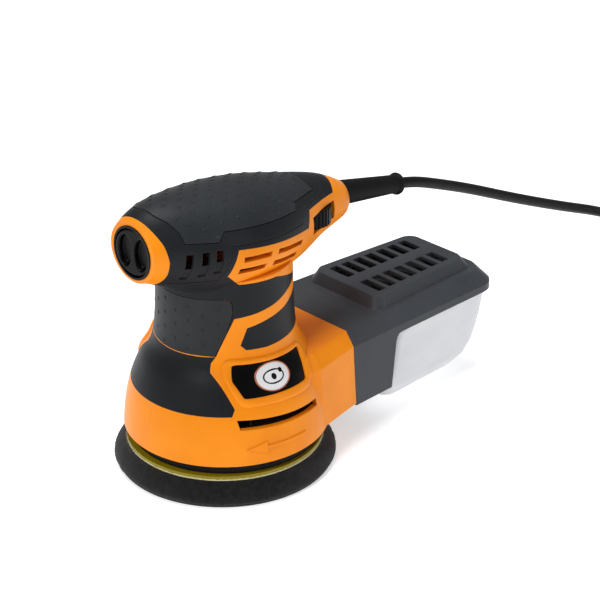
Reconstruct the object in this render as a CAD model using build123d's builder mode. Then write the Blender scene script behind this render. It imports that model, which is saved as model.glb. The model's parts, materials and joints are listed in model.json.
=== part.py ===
from build123d import *
import math
import os

# Random orbital sander, millimetres. +Z up, -X front (switch), +X rear (dust box and cord).
# The origin is on the motor axis, at the pad's sanding face.

# pad and orbit
pad_radius = 62.5
plate_radius = 55.0
orbit_offset = 1.25
dust_hole_circle = 32.5
dust_hole_radius = 4.8
pad_screw_circle = 21.5
facing_top = 1.2
foam_top = 13.2
plate_top = 15.8
hub_top = 26.0

# housing shells
wall = 3.2
skin = 1.6
skirt_low = 22.5
neck_top = 122.0
duct_end = 60.0
duct_low = 24.0
duct_top = 66.7
duct_shoulder = 59.0

# motor, all about the Z axis
shaft_radius = 4.0
collar_radius = 6.0
stator_radius = 32.5
bore_radius = 19.0
armature_radius = 18.3
stack_low = 70.0
stack_high = 104.0
commutator_radius = 10.5
commutator_low = 114.5
commutator_high = 127.0
brush_level = 121.0
upper_bearing_low = 131.0
lower_bearing_low = 50.5
shaft_top = 142.0
fan_radius = 44.0
fan_low = 37.0
fan_high = 48.0

# controls
switch_centre = (-58.0, 0.0, 142.0)
rocker_radius = 13.1
bezel_width = 1.2
rocker_gap = 0.4
rocker_tilt = 5.0
dial_centre = (54.0, -9.5, 132.5)
dial_radius = 12.5
dial_height = 9.6
board_top = 123.5

# dust box
box_front = 60.3
box_rear = 186.0
lip_low = 54.0
lid_top = 66.7
lid_shoulder = 58.5
collar_low = 22.5
block_top = 73.6
bin_low = 10.0
port_width = 44.0
port_height = 26.0
port_centre = 44.0
grille_slots = 7

# cord
cord_radius = 3.25
cord_exit = (134.0, 0.0, 124.0)
sleeve_start = (86.5, 0.0, 132.0)

gap = 0.3

# (z, radius) of the skirt and neck
skirt_profile = [(skirt_low, 57.3), (30, 56.7), (40, 55.2), (50, 52.7), (58, 49.6), (66, 45.8)]
neck_profile = [(74, 41.0), (82, 38.9), (92, 38.0), (102, 37.6), (112, 37.4), (neck_top, 37.6)]

# (x, top z, bottom z, half width) of the head and tail
head_sections = [
    (-62.0, 159.0, 125.4, 17.7),
    (-54.0, 163.0, 122.3, 21.5),
    (-42.0, 165.2, 115.6, 27.2),
    (-28.0, 164.9, 109.1, 33.7),
    (-10.0, 164.0, 105.8, 37.9),
    (10.0, 162.3, 105.6, 36.9),
    (30.0, 159.1, 106.6, 30.9),
    (50.0, 154.3, 109.9, 22.3),
    (70.0, 148.5, 115.3, 15.2),
    (80.0, 143.8, 117.7, 12.4),
    (86.5, 139.8, 119.4, 8.6),
]

os.makedirs("parts", exist_ok=True)


def save(piece, name):
    piece.label = name
    export_step(piece, "parts/" + name + ".step")


def front_plane(x, z=0.0, y=0.0):
    # sketch X runs along +Y and sketch Y along +Z
    return Plane(origin=(x, y, z), x_dir=(0, 1, 0), z_dir=(1, 0, 0))


def duct_half(x):
    return 55.0 + (42.6 - 55.0) * (x - 5.0) / 55.0


# the outer form of the whole casing, shrunk by inset on every side
def casing_form(inset):
    with BuildPart() as form:
        with BuildSketch(Plane.XZ):
            with BuildLine():
                curve = [(r - inset, z) for z, r in skirt_profile + neck_profile]
                Spline(*curve)
                Polyline(curve[-1], (0, neck_top), (0, skirt_low), curve[0])
            make_face()
        revolve(axis=Axis.Z)
    with BuildPart() as head:
        for x, top, bottom, half in head_sections:
            shift = inset * (x == head_sections[0][0]) - inset * (x == head_sections[-1][0])
            with BuildSketch(front_plane(x + shift, (top + bottom) / 2)):
                Ellipse(half - inset, (top - bottom) / 2 - inset)
        loft()
    with BuildPart() as duct:
        for x, tuck in ((5.0, 7.7), (28.0, 0.0), (duct_end - inset, 0.0)):
            half = duct_half(x) - inset
            top = duct_top - inset
            with BuildSketch(front_plane(x)):
                with BuildLine():
                    Polyline(
                        (-half, duct_low + inset),
                        (-half + 2.8 + tuck, duct_shoulder),
                        (-half + 8.8 + 0.55 * tuck + 0.4 * inset, top),
                        (half - 8.8 - 0.55 * tuck - 0.4 * inset, top),
                        (half - 2.8 - tuck, duct_shoulder),
                        (half, duct_low + inset),
                        close=True,
                    )
                make_face()
        loft(ruled=True)
    with BuildPart() as whole:
        add(form.part)
        add(head.part)
        add(duct.part)
    return whole.part


# a closed side-view outline of (x, z) points, extruded through the casing along Y
def side_prism(outline, y_from=-80.0, y_to=80.0, grow=0.0):
    with BuildPart() as prism:
        with BuildSketch(Plane.XZ.offset(-y_to)):
            with BuildLine():
                Polyline(*outline, close=True)
            make_face()
            if grow:
                offset(amount=grow, kind=Kind.INTERSECTION)
        extrude(amount=y_to - y_from)
    return prism.part


def box_at(x_span, y_span, z_span):
    spans = (x_span, y_span, z_span)
    with BuildPart() as block:
        with Locations(tuple((high + low) / 2 for low, high in spans)):
            Box(*[high - low for low, high in spans])
    return block.part


# an upright ring about the motor axis, or a plain rod where inner is 0
def ring(outer, low, high, inner=0.0):
    with BuildPart() as turned_ring:
        with BuildSketch(Plane.XY.offset(low)):
            Circle(outer)
            if inner:
                Circle(inner, mode=Mode.SUBTRACT)
        extrude(amount=high - low)
    return turned_ring.part


# a rod across the casing, along Y
def cross_rod(radius, x, z, y_from, y_to):
    with BuildPart() as across:
        with Locations(Location((x, (y_from + y_to) / 2, z), (90, 0, 0))):
            Cylinder(radius, abs(y_to - y_from))
    return across.part


# what lies inside one form and outside another
def between(outer, inner):
    with BuildPart() as layer:
        add(outer)
        add(inner, mode=Mode.SUBTRACT)
    return layer.part


# the share of a layer inside a prism, less any cuts
def panel(layer, prism, *cuts_away):
    with BuildPart() as piece:
        add(layer)
        add(prism, mode=Mode.INTERSECT)
        for cut in cuts_away:
            add(cut, mode=Mode.SUBTRACT)
    return piece.part


# side-view outlines of the coloured regions, (x, z)
cover_outline = [
    (-60.6, 180), (-60.2, 163), (-58.6, 157), (-56.2, 150), (-54.6, 141), (-54.6, 133), (-55.6, 126), (-30.3, 126.4), (-25, 137.5), (-23, 144.6),
    (30.4, 139.8), (35.3, 145.3), (58.6, 145.0), (61, 149), (59, 180),
]
grip_outline = [
    (-53, 180), (-52.8, 162.4), (-49.4, 159.6), (-46.8, 155.0), (-46.0, 149.8), (-29.1, 147.8), (-24.7, 152.0), (27.6, 147.4),
    (30.6, 150.3), (52.5, 148.4), (50, 155), (49, 180),
]
sleeve_outline = [
    (-60.6, 180), (-60.2, 163), (-58.6, 157), (-56.2, 150), (-54.6, 141), (-54.6, 133), (-55.6, 126), (-52, 112),
    (-46, 100), (-46, 79.2),
    (-29.3, 79.6), (-20.6, 101.0), (-9.4, 102.3), (3, 104.4), (13.2, 107.2), (21, 109.3),
    (32, 111.5), (20, 114.8), (4.3, 119.8), (-18.1, 120.7), (-25.8, 128.0),
    (-20, 142.0), (36.5, 134.8), (41, 142.6), (69.3, 141.3), (73.4, 148), (71, 180),
]
front_grip_outline = [
    (-46, 110.6), (-24.4, 112.4), (-21.5, 110), (-21.2, 104.3), (-24.4, 92.7), (-29.5, 80.1), (-46, 78.2),
]
shield_outline = [
    (-70, 50.3), (-32.2, 50.3), (-30.0, 54.1), (-33.4, 71.5), (-31.6, 76.2), (-29.4, 79.4), (-46, 78),
    (-70, 78),
]
inlay_outline = [
    (-14.7, 94.8), (-2.7, 97.1), (10.9, 99.6), (24, 103.6), (36, 107), (36, 83), (18.9, 82.2),
    (-3.9, 81.6), (-16, 82.4), (-18.5, 85.4),
]
badge_outline = [(-24.1, 75.2), (19.2, 73.3), (16.2, 57.8), (-24.4, 58.8), (-26.9, 67.5)]


# casing layers
outer_form = casing_form(0.0)
inner_form = casing_form(wall)
rib_form = casing_form(wall - 1.0)
skin_layer = between(outer_form, casing_form(skin))

cover_prism = side_prism(cover_outline)
sleeve_prism = side_prism(sleeve_outline)
grip_prism = side_prism(grip_outline)
front_grip_prism = side_prism(front_grip_outline)
shield_prism = side_prism(shield_outline)
inlay_prism = side_prism(inlay_outline)
badge_prism = side_prism(badge_outline)
badge_layer = between(outer_form, casing_form(0.9))

# vents and slots through the walls, (x, z) outlines on both sides
vent_outlines = [[(x - 2.4, low), (x + 1.4, low), (x + 2.0, 143.7), (x - 1.8, 144.0)]
                 for x, low in ((-44.8, 135.4), (-37.0, 136.4), (-30.0, 137.5))]
slot_outlines = [
    [(-17.3, 137.4), (1.4, 135.7), (0.2, 133.2), (-17.6, 134.6)],
    [(6.5, 135.1), (29.5, 131.4), (27.8, 129.2), (5.6, 132.6)],
    [(-19.7, 131.2), (-2.4, 129.8), (-3.8, 127.4), (-20.7, 128.4)],
    [(3.3, 129.4), (24.6, 126.2), (23.0, 123.8), (2.0, 126.7)],
]
fan_slot_outline = [(-30.5, 48.4), (21.4, 45.1), (21.6, 40.9), (-29.9, 42.9)]
arrow_outline = [(-28.5, 31.9), (-18, 35.2), (-18, 32.7), (7.9, 32.7), (7.9, 31.1), (-18, 31.1), (-18, 28.6)]

with BuildPart() as openings:
    add(box_at((43, 68), (-40, -6), (127.3, 137.7)))
    for outline in slot_outlines + [fan_slot_outline]:
        add(side_prism(outline))
with BuildPart() as cover_vents:
    for outline in vent_outlines:
        add(side_prism(outline))
with BuildPart() as vent_trails:
    for (x, low), *_ in vent_outlines:
        add(side_prism([(x - 1.2, low - 6.4), (x + 2.6, low - 6.4), (x + 3.8, low + 0.5), (x, low + 0.5)]))
with BuildPart() as shell_vents:
    for outline in vent_outlines:
        add(side_prism(outline, grow=1.3))

# screw bosses across the casing, (x, z)
screw_places = [(-44, 123), (-34, 155), (40, 149), (44, 116.5), (50, 62)]
screw_seats = [14.0, 20.5, 15.8, 14.8, 36.0]
boss_radius = 5.0
screw_head_radius = 3.4
screw_radius = 1.6

# dust port in the end wall of the duct
with BuildPart() as port_cut:
    with BuildSketch(front_plane(duct_end - 10, port_centre)):
        RectangleRounded(port_width, port_height, 8)
    extrude(amount=20)
    with BuildSketch(front_plane(duct_end - 1.8, port_centre)):
        RectangleRounded(port_width + 4, port_height + 4, 10)
    extrude(amount=5)

# inner ribs: the upper bearing's seat, two rings that hold the stator, and the cord clamp's walls
with BuildPart() as ribs:
    add(box_at((-22, 22), (-60, 60), (upper_bearing_low + 1.5, upper_bearing_low + 5.5)))
    add(ring(50, 66.5, 69.5, 28))
    add(ring(50, 104.6, 107.0, 31.4))
    for side in (1, -1):
        add(box_at((73, 80), sorted((side * 4.8, side * 14)), (129.4, 160)))
    add(rib_form, mode=Mode.INTERSECT)
    add(ring(11.0, upper_bearing_low - 5, upper_bearing_low + 7), mode=Mode.SUBTRACT)

with BuildPart() as recesses:
    for (x, z), seat in zip(screw_places, screw_seats):
        add(cross_rod(screw_head_radius + gap, x, z, seat - 2.6, 70))
        add(cross_rod(screw_radius, x, z, seat - 16, seat))

with BuildPart() as bosses:
    for x, z in screw_places:
        add(cross_rod(boss_radius, x, z, -50, 50))
    add(rib_form, mode=Mode.INTERSECT)

sleeve_plane = Plane(origin=sleeve_start, z_dir=Vector(*cord_exit) - Vector(*sleeve_start), x_dir=(0, 1, 0))
with BuildPart() as casing:
    add(outer_form)
    add(inner_form, mode=Mode.SUBTRACT)
    add(ribs.part)
    add(box_at((-80, 80), (-70, 70), (0, skirt_low + 0.02)), mode=Mode.SUBTRACT)
    for prism in (sleeve_prism, cover_prism, front_grip_prism, shield_prism, inlay_prism):
        add(panel(skin_layer, prism), mode=Mode.SUBTRACT)
    add(panel(badge_layer, badge_prism), mode=Mode.SUBTRACT)
    add(openings.part, mode=Mode.SUBTRACT)
    add(shell_vents.part, mode=Mode.SUBTRACT)
    add(port_cut.part, mode=Mode.SUBTRACT)
    with BuildSketch(front_plane(-68, switch_centre[2])):
        Circle(rocker_radius + rocker_gap + bezel_width)
    extrude(amount=16, mode=Mode.SUBTRACT)
    with BuildSketch(sleeve_plane.offset(-11)):
        Circle(7.4)
    extrude(amount=18, mode=Mode.SUBTRACT)
    add(bosses.part)
    add(recesses.part, mode=Mode.SUBTRACT)
    arrow = panel(between(casing_form(-0.9), casing_form(0.5)), side_prism(arrow_outline, -80, 0))
    add(arrow)

near_side = box_at((-100, 120), (-80, 0), (0, 200))
far_side = box_at((-100, 120), (0, 80), (0, 200))
save(panel(casing.part, near_side), "left_housing")
save(panel(casing.part, far_side), "right_housing")

# dark overmoulded panels, each as deep as the skin layer
groove = panel(between(casing_form(-0.1), casing_form(0.8)), side_prism(grip_outline, grow=0.5))
vent_trail_cuts = panel(between(outer_form, casing_form(0.8)), vent_trails.part)
save(panel(skin_layer, cover_prism, groove, cover_vents.part, vent_trail_cuts, recesses.part), "top_cover")
save(panel(between(outer_form, casing_form(0.75)), grip_prism, recesses.part), "top_grip")
around_cover = side_prism(cover_outline, grow=0.35)
around_grip = side_prism(front_grip_outline, grow=0.35)
save(panel(skin_layer, sleeve_prism, around_cover, around_grip, recesses.part), "neck_sleeve")
save(panel(skin_layer, front_grip_prism), "front_grip")
save(panel(skin_layer, shield_prism, front_grip_prism), "front_shield")
for side_name, side_box in (("left", near_side), ("right", far_side)):
    save(panel(panel(skin_layer, inlay_prism), side_box), side_name + "_inlay")
    save(panel(panel(badge_layer, badge_prism), side_box), side_name + "_badge_plate")


# round and turned pieces
def turned(points):
    with BuildPart() as piece:
        with BuildSketch(Plane.XZ):
            with BuildLine():
                Polyline(*points, close=True)
            make_face()
        revolve(axis=Axis.Z)
    return piece.part


ring_low = plate_top + 0.5
save(turned([(51.4, ring_low), (53.1, ring_low), (53.1, 29), (46, 29), (46, 27), (51.4, 27)]), "brake_ring")

with BuildPart() as fan_shroud:
    with BuildSketch(Plane.XY.offset(33.5)):
        Circle(52.4)
        Circle(29.5, mode=Mode.SUBTRACT)
        with Locations((57.7, 0)):
            Rectangle(20, 60, mode=Mode.SUBTRACT)
    extrude(amount=1.8)
save(fan_shroud.part, "fan_shroud")

with BuildPart() as bearing_bracket:
    with BuildSketch(Plane.XY.offset(52.0)):
        Circle(47.0)
    extrude(amount=3.0)
    with BuildSketch(Plane.XY.offset(lower_bearing_low - 0.5)):
        Circle(18.0)
    extrude(amount=10.5)
    with PolarLocations(32, 8):
        Cylinder(5.5, 40, mode=Mode.SUBTRACT)
    with Locations((0, 0, 40)):
        Cylinder(8.5, 60, mode=Mode.SUBTRACT)
    with Locations((0, 0, lower_bearing_low + 4)):
        Cylinder(14.0, 8, mode=Mode.SUBTRACT)
save(bearing_bracket.part, "bearing_bracket")

with BuildPart() as stator_core:
    with BuildSketch(Plane.XY.offset(stack_low)):
        Circle(stator_radius)
        Circle(bore_radius, mode=Mode.SUBTRACT)
        with PolarLocations(23.6, 4, start_angle=45):
            Rectangle(8.4, 8.0, mode=Mode.SUBTRACT)
    extrude(amount=stack_high - stack_low)
save(stator_core.part, "stator_core")

with BuildPart() as field_coils:
    with BuildSketch(Plane.XY.offset(stack_low - 6)):
        with PolarLocations(23.6, 4, start_angle=45):
            Rectangle(7.2, 7.0)
    extrude(amount=stack_high - stack_low + 12)
    for base in (stack_low - 6, stack_high + 0.2):
        for turn in (0, 180):
            with BuildSketch(Plane.XY.offset(base)):
                with BuildLine():
                    CenterArc((0, 0), 27.2, 45 + turn, 90)
                    CenterArc((0, 0), 20.4, 45 + turn, 90)
                    Line(PolarLine((0, 0), 20.4, 45 + turn) @ 1, PolarLine((0, 0), 27.2, 45 + turn) @ 1)
                    Line(PolarLine((0, 0), 20.4, 135 + turn) @ 1, PolarLine((0, 0), 27.2, 135 + turn) @ 1)
                make_face()
            extrude(amount=5.8)
save(field_coils.part, "field_coils")

# two of each, on opposite sides of the commutator
with BuildPart() as brush_holders:
    with Locations((0, 22, brush_level), (0, -22, brush_level)):
        Box(9.5, 14.6, 13)
        Box(6.4, 14.6, 9.4, mode=Mode.SUBTRACT)
save(brush_holders.part, "brush_holders")
with BuildPart() as carbon_brushes:
    with Locations((0, 17.6, brush_level), (0, -17.6, brush_level)):
        Box(6.2, 14, 9.2)
save(carbon_brushes.part, "carbon_brushes")
with BuildPart() as brush_springs:
    for side in (1, -1):
        for turn in range(4):
            with Locations(Location((0, side * (25.2 + 1.1 * turn), brush_level), (90, 0, 0))):
                Torus(2.6, 0.4)
save(brush_springs.part, "brush_springs")


def race(inner, outer, low, height, name, x=0.0):
    with BuildPart() as ring:
        with BuildSketch(Plane.XY.offset(low)):
            with Locations((x, 0)):
                Circle(outer)
                Circle(inner, mode=Mode.SUBTRACT)
        extrude(amount=height)
    save(ring.part, name)


race(7.65, 11.0, upper_bearing_low, 7, "upper_bearing_outer")
race(shaft_radius, 7.6, upper_bearing_low, 7, "upper_bearing_inner")
race(10.05, 14.0, lower_bearing_low, 8, "lower_bearing_outer")
race(collar_radius, 10.0, lower_bearing_low, 8, "lower_bearing_inner")
race(10.05, 14.0, 17.2, 8, "pad_bearing_outer", -orbit_offset)
race(6.0, 10.0, 17.2, 8, "pad_bearing_inner", -orbit_offset)

# rotor
rotor_shaft = turned([(0, 27), (shaft_radius, 27), (shaft_radius, 49), (collar_radius, 49),
                      (collar_radius, 60), (shaft_radius, 60), (shaft_radius, shaft_top), (0, shaft_top)])
save(rotor_shaft, "rotor_shaft")

with BuildPart() as armature_core:
    with BuildSketch(Plane.XY.offset(stack_low)):
        Circle(armature_radius)
        Circle(shaft_radius, mode=Mode.SUBTRACT)
        with PolarLocations(14.5, 12):
            Rectangle(8.0, 2.6, mode=Mode.SUBTRACT)
    extrude(amount=stack_high - stack_low)
save(armature_core.part, "armature_core")

with BuildPart() as armature_windings:
    with BuildSketch(Plane.XZ):
        for base in (61.0, stack_high):
            with Locations((10.5, base + 4.5)):
                RectangleRounded(13.0, 9.0, 3.0)
    revolve(axis=Axis.Z)
save(armature_windings.part, "armature_windings")

with BuildPart() as commutator:
    with BuildSketch(Plane.XY.offset(commutator_low)):
        Circle(commutator_radius)
        Circle(shaft_radius, mode=Mode.SUBTRACT)
        with PolarLocations(commutator_radius, 24):
            Rectangle(1.6, 0.5, mode=Mode.SUBTRACT)
    extrude(amount=commutator_high - commutator_low)
save(commutator.part, "commutator")

with BuildPart() as fan:
    with BuildSketch(Plane.XY.offset(fan_high - 1.8)):
        Circle(fan_radius)
    extrude(amount=1.8)
    with BuildSketch(Plane.XY.offset(fan_low)):
        Circle(10)
        with PolarLocations(31, 12):
            with Locations(Location((0, 0, 0), (0, 0, 25))):
                Rectangle(24, 1.6)
    extrude(amount=fan_high - fan_low)
    with Locations((0, 0, 42)):
        Cylinder(shaft_radius, 30, mode=Mode.SUBTRACT)
save(fan.part, "fan")

with BuildPart() as counterweight:
    with BuildSketch(Plane.XY.offset(hub_top + 0.4)):
        Circle(12)
        with BuildLine():
            CenterArc((0, 0), 27, -70, 140)
            Polyline(PolarLine((0, 0), 27, 70) @ 1, (0, 0), PolarLine((0, 0), 27, -70) @ 1)
        make_face()
    extrude(amount=9.6)
    with BuildSketch(Plane.XY.offset(16.6)):
        with Locations((-orbit_offset, 0)):
            Circle(6.0)
    extrude(amount=10)
    with Locations((0, 0, 37)):
        Cylinder(shaft_radius, 20, mode=Mode.SUBTRACT)
save(counterweight.part, "counterweight")

# pad, about its own axis at -orbit_offset
def pad_disc(low, height, radius, screw_hole):
    with BuildPart() as disc:
        with BuildSketch(Plane.XY.offset(low)):
            with Locations((-orbit_offset, 0)):
                Circle(radius)
                with PolarLocations(dust_hole_circle, 8, start_angle=22.5):
                    Circle(dust_hole_radius, mode=Mode.SUBTRACT)
                with PolarLocations(pad_screw_circle, 4):
                    Circle(screw_hole, mode=Mode.SUBTRACT)
        extrude(amount=height)
    return disc.part


save(pad_disc(0, facing_top, 60.6, 4.5), "hook_facing")
save(pad_disc(foam_top, plate_top - foam_top, plate_radius, 2.0), "pad_plate")
foam_skin = turned([(0, facing_top), (60.8, facing_top), (61.9, 2.0), (pad_radius, 3.2), (62.3, 5.2), (60.8, 7.8),
                    (58.2, 10.2), (56.2, 11.8), (55.6, foam_top), (0, foam_top)])
with BuildPart() as pad_foam:
    with Locations((-orbit_offset, 0, 0)):
        add(foam_skin)
    add(pad_disc(facing_top, foam_top - facing_top, 70, 4.5), mode=Mode.INTERSECT)
save(pad_foam.part, "pad_foam")

with BuildPart() as pad_hub:
    with BuildSketch(Plane.XY.offset(plate_top)):
        with Locations((-orbit_offset, 0)):
            Circle(26.5)
            with PolarLocations(pad_screw_circle, 4):
                Circle(1.6, mode=Mode.SUBTRACT)
    extrude(amount=2.4)
    with BuildSketch(Plane.XY.offset(plate_top)):
        with Locations((-orbit_offset, 0)):
            Circle(18)
    extrude(amount=hub_top - plate_top)
    with Locations((-orbit_offset, 0, 17.2 + 6)):
        Cylinder(14.0, 12, mode=Mode.SUBTRACT)
    with Locations((-orbit_offset, 0, 16.4)):
        Cylinder(9.0, 2, mode=Mode.SUBTRACT)
save(pad_hub.part, "pad_hub")

with BuildPart() as pad_screws:
    with Locations((-orbit_offset, 0, 0)):
        with PolarLocations(pad_screw_circle, 4):
            with Locations((0, 0, foam_top - 0.9)):
                Cylinder(3.6, 1.8)
            with Locations((0, 0, foam_top + 2.2)):
                Cylinder(1.6, 4.8)
            with Locations((0, 0, foam_top - 1.6)):
                Box(4.2, 0.8, 1.0, mode=Mode.SUBTRACT)
                Box(0.8, 4.2, 1.0, mode=Mode.SUBTRACT)
save(pad_screws.part, "pad_screws")

# switch
with BuildPart() as switch_bezel:
    with BuildSketch(front_plane(-62.6, switch_centre[2])):
        Circle(rocker_radius + rocker_gap + bezel_width)
        Circle(rocker_radius + rocker_gap, mode=Mode.SUBTRACT)
    extrude(amount=9.0)
save(switch_bezel.part, "switch_bezel")

with BuildPart() as switch_rocker:
    with BuildSketch(front_plane(-62.0, switch_centre[2])):
        Circle(rocker_radius)
    with BuildSketch(front_plane(-54.5, switch_centre[2])):
        Circle(rocker_radius - 1.6)
    loft(ruled=True)
    fillet(switch_rocker.edges().group_by(Axis.X)[0], 1.2)
    for side in (1, -1):
        with BuildSketch(front_plane(-63.2, switch_centre[2])):
            with Locations((side * 6.0, 0)):
                Ellipse(4.0, 8.8)
        extrude(amount=2.6, mode=Mode.SUBTRACT)
        with BuildSketch(front_plane(-61.4, switch_centre[2])):
            with Locations((side * 6.0, 0)):
                Ellipse(3.1, 7.7)
        extrude(amount=3.0)
    with Locations(switch_centre):
        Cylinder(1.4, 2 * rocker_radius + rocker_gap)
rocker = switch_rocker.part.rotate(Axis(switch_centre, (0, 0, 1)), rocker_tilt)
save(rocker, "switch_rocker")

with BuildPart() as switch_body:
    with Locations((-44.5, 0, switch_centre[2])):
        Box(15, 19, 15)
    with GridLocations(0, 10, 1, 2):
        with Locations((-35.0, 0, switch_centre[2] + 3), (-35.0, 0, switch_centre[2] - 3)):
            Box(4.2, 0.8, 3.0)
save(switch_body.part, "switch_body")

# speed control
with BuildPart() as control_board:
    with Locations((44.5, 0, board_top - 0.8)):
        Box(27, 18, 1.6)
    with Locations((34, 5, board_top + 2.0)):
        Box(7, 6, 4)
    with Locations((34, -5, board_top + 1.5)):
        Box(6, 5, 3)
save(control_board.part, "control_board")
with BuildPart() as dial_shaft:
    with Locations((dial_centre[0], dial_centre[1] + 2.0, board_top + 1.6)):
        Box(9, 8, 3.2)
    with Locations((dial_centre[0], dial_centre[1], 130.5)):
        Cylinder(2.0, 11.0)
save(dial_shaft.part, "dial_shaft")
with BuildPart() as speed_dial:
    with BuildSketch(Plane.XY.offset(dial_centre[2] - dial_height / 2)):
        with Locations((dial_centre[0], dial_centre[1])):
            Circle(dial_radius)
            Circle(2.1, mode=Mode.SUBTRACT)
            with PolarLocations(dial_radius, 30):
                Rectangle(1.2, 1.2, mode=Mode.SUBTRACT)
    extrude(amount=dial_height)
save(speed_dial.part, "speed_dial")
with BuildPart() as capacitor:
    with Locations((26, 1, 143.5)):
        Box(15, 12, 9)
    fillet(capacitor.edges().filter_by(Axis.X), 2)
save(capacitor.part, "capacitor")

# cord fixing
with BuildPart() as cord_clamp:
    with Locations((76.2, 0, 127.1)):
        Box(5.4, 16.0, 3.0)
save(cord_clamp.part, "cord_clamp")
with BuildPart() as clamp_screws:
    with Locations((76.5, 6.2, 124.9), (76.5, -6.2, 124.9)):
        Cylinder(1.9, 1.4)
save(clamp_screws.part, "clamp_screws")

with BuildPart() as housing_screws:
    for (x, z), seat in zip(screw_places, screw_seats):
        with Locations(Location((x, seat - 1.3, z), (90, 0, 0))):
            Cylinder(screw_head_radius, 2.6)
        with Locations(Location((x, seat - 9.0, z), (90, 0, 0))):
            Cylinder(screw_radius, 13.0)
        with Locations((x, seat, z)):
            Box(4.4, 1.6, 0.9, mode=Mode.SUBTRACT)
            Box(0.9, 1.6, 4.4, mode=Mode.SUBTRACT)
save(housing_screws.part, "housing_screws")

# strain relief, straight and tapered, with a rim at its mouth
sleeve_length = (Vector(*cord_exit) - Vector(*sleeve_start)).length
with BuildPart() as strain_relief:
    for distance, radius in ((-13.5, 4.2), (-6.0, 4.2)):
        with BuildSketch(sleeve_plane.offset(distance)):
            Circle(radius)
    loft()
    for distance, radius in ((-6.0, 7.3), (0.0, 7.3), (sleeve_length, 5.3)):
        with BuildSketch(sleeve_plane.offset(distance)):
            Circle(radius)
    loft(ruled=True)
    with BuildSketch(sleeve_plane.offset(sleeve_length - 2.4)):
        Circle(6.6)
    extrude(amount=2.4)
save(strain_relief.part, "strain_relief")

# dust box
top_inset = 6.0
rear_inset = 7.0


def lid_half(x):
    return 39.6 + (35.6 - 39.6) * (x - box_front) / (box_rear - box_front)


def round_plan(points, corner, height):
    with BuildSketch(Plane.XY.offset(height)) as plan:
        with BuildLine():
            Polyline(*points, close=True)
        make_face()
        fillet(plan.vertices(), corner)
    return plan.sketch


# a four-sided plan, square at the front and round at the rear
def box_plan(front, rear, front_half, rear_half, corner, height):
    with BuildSketch(Plane.XY.offset(height)) as plan:
        with BuildLine():
            Polyline((front, -front_half), (rear, -rear_half), (rear, rear_half), (front, front_half), close=True)
        make_face()
        fillet(plan.vertices().group_by(Axis.X)[-1], corner)
    return plan.sketch


# a slab between two heights on such a plan
def tapered_slab(front, rear, front_half, rear_half, low, high, corner):
    with BuildPart() as slab:
        add(box_plan(front, rear, front_half, rear_half, corner, low))
        extrude(amount=high - low)
    return slab.part


# the lid's outer form with the full depth of its collar, shrunk by inset; its top slopes in at the sides and rear
def lid_form(inset, low):
    front, rear = box_front + inset, box_rear - inset
    front_half, rear_half = lid_half(front) - inset, lid_half(rear) - inset
    corner = 14 - inset
    with BuildPart() as form:
        loft([box_plan(front, rear, front_half + 3.0, rear_half + 0.7, corner, low),
              box_plan(front, rear, front_half, rear_half, corner, lid_shoulder)], ruled=True)
        loft([box_plan(front, rear, front_half, rear_half, corner, lid_shoulder),
              box_plan(front, rear - rear_inset, front_half - top_inset, rear_half - top_inset, corner - 2,
                       lid_top - inset)], ruled=True)
    return form.part


collar_edge = [(88, 10), (95.2, 48.5), (96.4, 51.9), (98.0, 53.5), (100.5, lip_low)]
rear_cut = side_prism(collar_edge + [(200, lip_low), (200, 10)])
block_base = [(88.6, -30.6), (175, -25.6), (175, 25.6), (88.6, 30.6)]
block_face = [(92.2, -26.8), (169.5, -22.2), (169.5, 22.2), (92.2, 26.8)]


def block_form(inset):
    with BuildPart() as block:
        loft([round_plan([(x + inset * (1 if x < 100 else -1), y - math.copysign(inset, y)) for x, y in points],
                         corner, height) for points, corner, height in
              ((block_base, 8, lid_top - 0.6 - inset), (block_face, 7, block_top - inset))], ruled=True)
    return block.part


lid_wall = 2.2
inlet = box_at((80, 100), (-16, 16), (32, 48))
spigot_size = (port_width - 2 * gap, port_height - 2 * gap)
with BuildPart() as lid_hollow:
    add(lid_form(lid_wall, collar_low + lid_wall))
    add(side_prism([(85.8, 10), (93.0, 48.5), (93.4, 58), (101, 58), (101, 10)]), mode=Mode.SUBTRACT)
    add(side_prism([(95, 10), (95, lip_low), (200, lip_low), (200, 10)]), mode=Mode.SUBTRACT)
with BuildPart() as under_grille:
    add(box_at((92, 176), (-21, 21), (60, lid_top + 1)))
    with Locations((0, 0, -3)):
        add(block_form(lid_wall + 0.5), mode=Mode.INTERSECT)
with BuildPart() as lid:
    add(lid_form(0, collar_low))
    add(block_form(0))
    add(rear_cut, mode=Mode.SUBTRACT)
    add(lid_hollow.part, mode=Mode.SUBTRACT)
    add(tapered_slab(102.0, box_rear - lid_wall, lid_half(100) - lid_wall, lid_half(box_rear) - lid_wall,
                     lip_low - 1, lid_shoulder, 11.8), mode=Mode.SUBTRACT)
    add(block_form(lid_wall), mode=Mode.SUBTRACT)
    add(under_grille.part, mode=Mode.SUBTRACT)
    for slot in range(grille_slots):
        slot_front = 99.2 + 9.18 * slot
        slot_end = 20.6 - 0.4 * slot
        with BuildSketch(Plane.XY.offset(60)):
            for side in (1, -1):
                with Locations((slot_front + 3.05, side * (4.6 + slot_end) / 2)):
                    RectangleRounded(6.1, slot_end - 4.6, 0.6)
        extrude(amount=20, mode=Mode.SUBTRACT)
    with BuildSketch(front_plane(40.0, port_centre)):
        RectangleRounded(spigot_size[0] - 3.6, spigot_size[1] - 3.6, 6)
    extrude(amount=30, mode=Mode.SUBTRACT)
    with BuildSketch(front_plane(48.0, port_centre)):
        RectangleRounded(*spigot_size, 7.7)
        RectangleRounded(spigot_size[0] - 3.6, spigot_size[1] - 3.6, 6, mode=Mode.SUBTRACT)
    extrude(amount=box_front + 1.0 - 48.0)
    add(inlet, mode=Mode.SUBTRACT)
save(lid.part, "dust_lid")

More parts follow.
